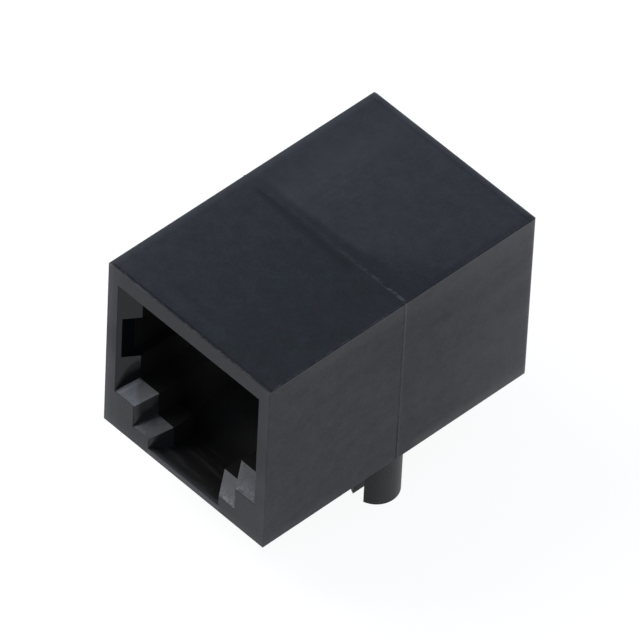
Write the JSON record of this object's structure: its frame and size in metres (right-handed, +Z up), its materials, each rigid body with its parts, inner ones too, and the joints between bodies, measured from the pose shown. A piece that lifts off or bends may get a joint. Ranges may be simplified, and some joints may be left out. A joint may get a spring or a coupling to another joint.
{
  "type": "telephone socket",
  "caption": "Right-angle board socket for a modular telephone plug: black box with flared mouth, stepped latch keyway, spring wire contacts, split pegs and staggered tails.",
  "frame": {"origin": "on the board's face, midway between the two board pegs", "axes": "+X to the right seen from the plug side, +Y from the mouth to the rear, +Z up from the board"},
  "size_m": [0.0132, 0.0205, 0.0162],
  "materials": {
    "housing_plastic": "fine spark-eroded matte outside, smooth inside the cavity",
    "insert_plastic": "smooth black moulding",
    "contact_wire": "drawn wire, gold-plated along the spring and tinned at the tail"
  },
  "bodies": {
    "root": {"housing": "housing_plastic", "contact_insert": "insert_plastic", "contact_1": "contact_wire", "contact_2": "contact_wire", "contact_3": "contact_wire", "contact_4": "contact_wire", "contact_5": "contact_wire", "contact_6": "contact_wire"}
  },
  "joints": []
}
